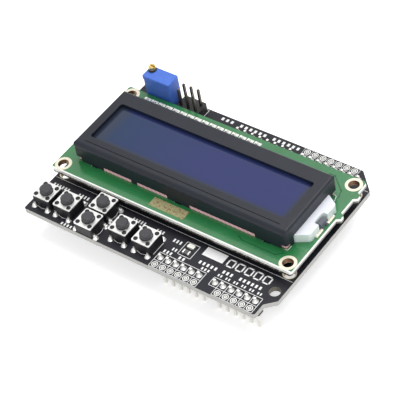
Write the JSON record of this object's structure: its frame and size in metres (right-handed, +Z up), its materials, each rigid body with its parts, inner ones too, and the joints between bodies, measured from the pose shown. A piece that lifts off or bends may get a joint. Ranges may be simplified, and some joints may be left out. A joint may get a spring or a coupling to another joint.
{
  "type": "lcd keypad shield",
  "caption": "Plug-on circuit board with a character display, push buttons, a contrast trimmer and header pins underneath.",
  "frame": {"origin": "middle of the footprint, at the tips of the header pins on which it stands", "axes": "+X along the long side to the display's right, +Y from the buttons to the back, +Z up"},
  "size_m": [0.0812, 0.0556, 0.0219],
  "materials": {
    "black_board": "glossy",
    "green_board": "glossy",
    "bezel_steel": "satin",
    "display_glass": "glossy",
    "backlight_plastic": "glossy",
    "lamp_plastic": "glossy",
    "contact_rubber": "matte",
    "black_resin": "glossy",
    "header_plastic": "matte",
    "pin_metal": "satin",
    "leg_metal": "satin",
    "trimmer_plastic": "satin",
    "trimmer_brass": "satin",
    "seal_rubber": "matte",
    "dome_steel": "satin",
    "solder": "glossy",
    "chip_ceramic": "matte",
    "switch_plastic": "matte",
    "cover_steel": "satin",
    "plunger_plastic": "matte"
  },
  "bodies": {
    "board": {"shield_pcb": "black_board", "lcd_pcb": "green_board", "lcd_bezel": "bezel_steel", "lcd_glass": "display_glass", "backlight_block": "backlight_plastic", "backlight_led": "lamp_plastic", "front_zebra_strip": "contact_rubber", "rear_zebra_strip": "contact_rubber", "driver_blobs": "black_resin", "lcd_header_strip": "header_plastic", "lcd_header_pins": "pin_metal", "prog_header_strip": "header_plastic", "prog_header_pins": "pin_metal", "trimmer_body": "trimmer_plastic", "trimmer_seal": "seal_rubber", "trimmer_leads": "pin_metal", "switch_domes": "dome_steel", "switch_leads": "leg_metal", "solder_joints": "solder", "power_led": "lamp_plastic", "led_resistor": "chip_ceramic", "ladder_resistors": "chip_ceramic", "backlight_transistor": "header_plastic", "power_strip": "header_plastic", "power_pins": "pin_metal", "analog_strip": "header_plastic", "analog_pins": "pin_metal", "digital_low_strip": "header_plastic", "digital_low_pins": "pin_metal", "digital_high_strip": "header_plastic", "digital_high_pins": "pin_metal", "select_switch_base": "switch_plastic", "select_switch_cover": "cover_steel", "left_switch_base": "switch_plastic", "left_switch_cover": "cover_steel", "up_switch_base": "switch_plastic", "up_switch_cover": "cover_steel", "down_switch_base": "switch_plastic", "down_switch_cover": "cover_steel", "right_switch_base": "switch_plastic", "right_switch_cover": "cover_steel", "reset_switch_base": "switch_plastic", "reset_switch_cover": "cover_steel"},
    "select_button": {"select_plunger": "plunger_plastic"},
    "left_button": {"left_plunger": "plunger_plastic"},
    "up_button": {"up_plunger": "plunger_plastic"},
    "down_button": {"down_plunger": "plunger_plastic"},
    "right_button": {"right_plunger": "plunger_plastic"},
    "reset_button": {"reset_plunger": "plunger_plastic"},
    "contrast_screw": {"trimmer_screw": "trimmer_brass"}
  },
  "joints": [
    {"name": "select_press", "type": "slide", "parent": "board", "child": "select_button", "axis": [0, 0, -1], "range_m": [0, 0.00025], "stiffness_N_per_m": 3000, "springref_m": -0.0001},
    {"name": "left_press", "type": "slide", "parent": "board", "child": "left_button", "axis": [0, 0, -1], "range_m": [0, 0.00025], "stiffness_N_per_m": 3000, "springref_m": -0.0001},
    {"name": "up_press", "type": "slide", "parent": "board", "child": "up_button", "axis": [0, 0, -1], "range_m": [0, 0.00025], "stiffness_N_per_m": 3000, "springref_m": -0.0001},
    {"name": "down_press", "type": "slide", "parent": "board", "child": "down_button", "axis": [0, 0, -1], "range_m": [0, 0.00025], "stiffness_N_per_m": 3000, "springref_m": -0.0001},
    {"name": "right_press", "type": "slide", "parent": "board", "child": "right_button", "axis": [0, 0, -1], "range_m": [0, 0.00025], "stiffness_N_per_m": 3000, "springref_m": -0.0001},
    {"name": "reset_press", "type": "slide", "parent": "board", "child": "reset_button", "axis": [0, 0, -1], "range_m": [0, 0.00025], "stiffness_N_per_m": 3000, "springref_m": -0.0001},
    {"name": "contrast_turn", "type": "hinge", "parent": "board", "child": "contrast_screw", "pos_m": [-0.03395, 0.02533, 0.02034], "axis": [0, 0, 1], "continuous": true}
  ]
}
